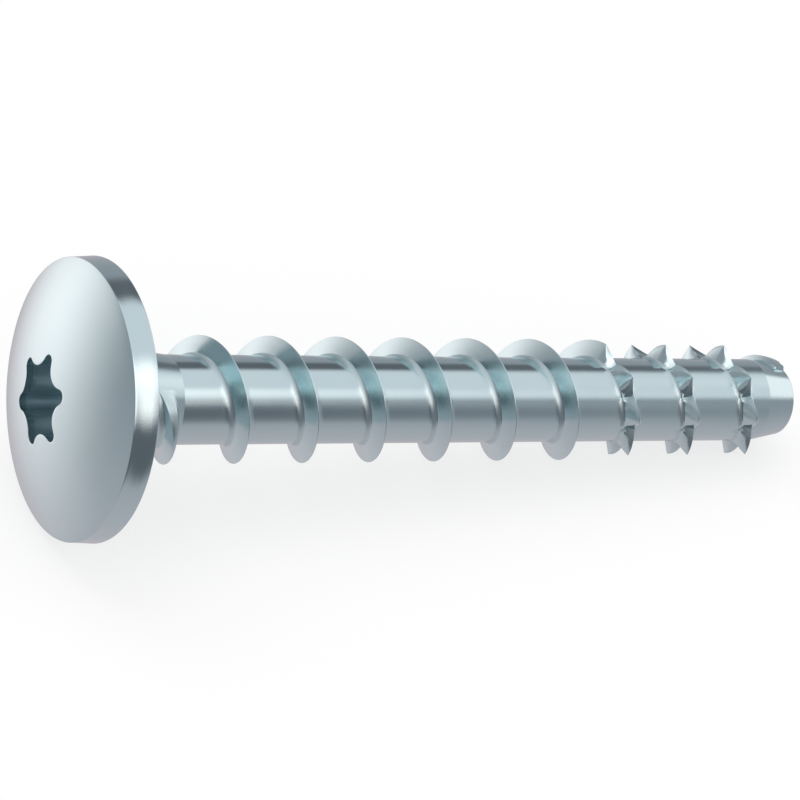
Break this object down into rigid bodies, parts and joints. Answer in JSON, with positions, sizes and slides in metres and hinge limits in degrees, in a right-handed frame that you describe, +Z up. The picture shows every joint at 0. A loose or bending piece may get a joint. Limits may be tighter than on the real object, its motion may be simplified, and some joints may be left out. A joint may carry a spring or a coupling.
{
  "type": "concrete screw",
  "caption": "One-piece concrete screw with a domed pan head, a six-lobed drive recess and a coarse right-hand thread whose crest is cut into saw teeth towards the tip.",
  "frame": {"origin": "centre of the flat seat under the head, on the screw's axis", "axes": "+X along the screw from head to tip, seen from above; the axis dips towards the tip because the screw lies on its head's edge and its last full teeth; +Z up"},
  "size_m": [0.0536, 0.0166, 0.0166],
  "materials": {
    "zinc_plated_steel": "bright zinc plating with a bluish tint"
  },
  "bodies": {
    "root": {"concrete_screw": "zinc_plated_steel"}
  },
  "joints": []
}
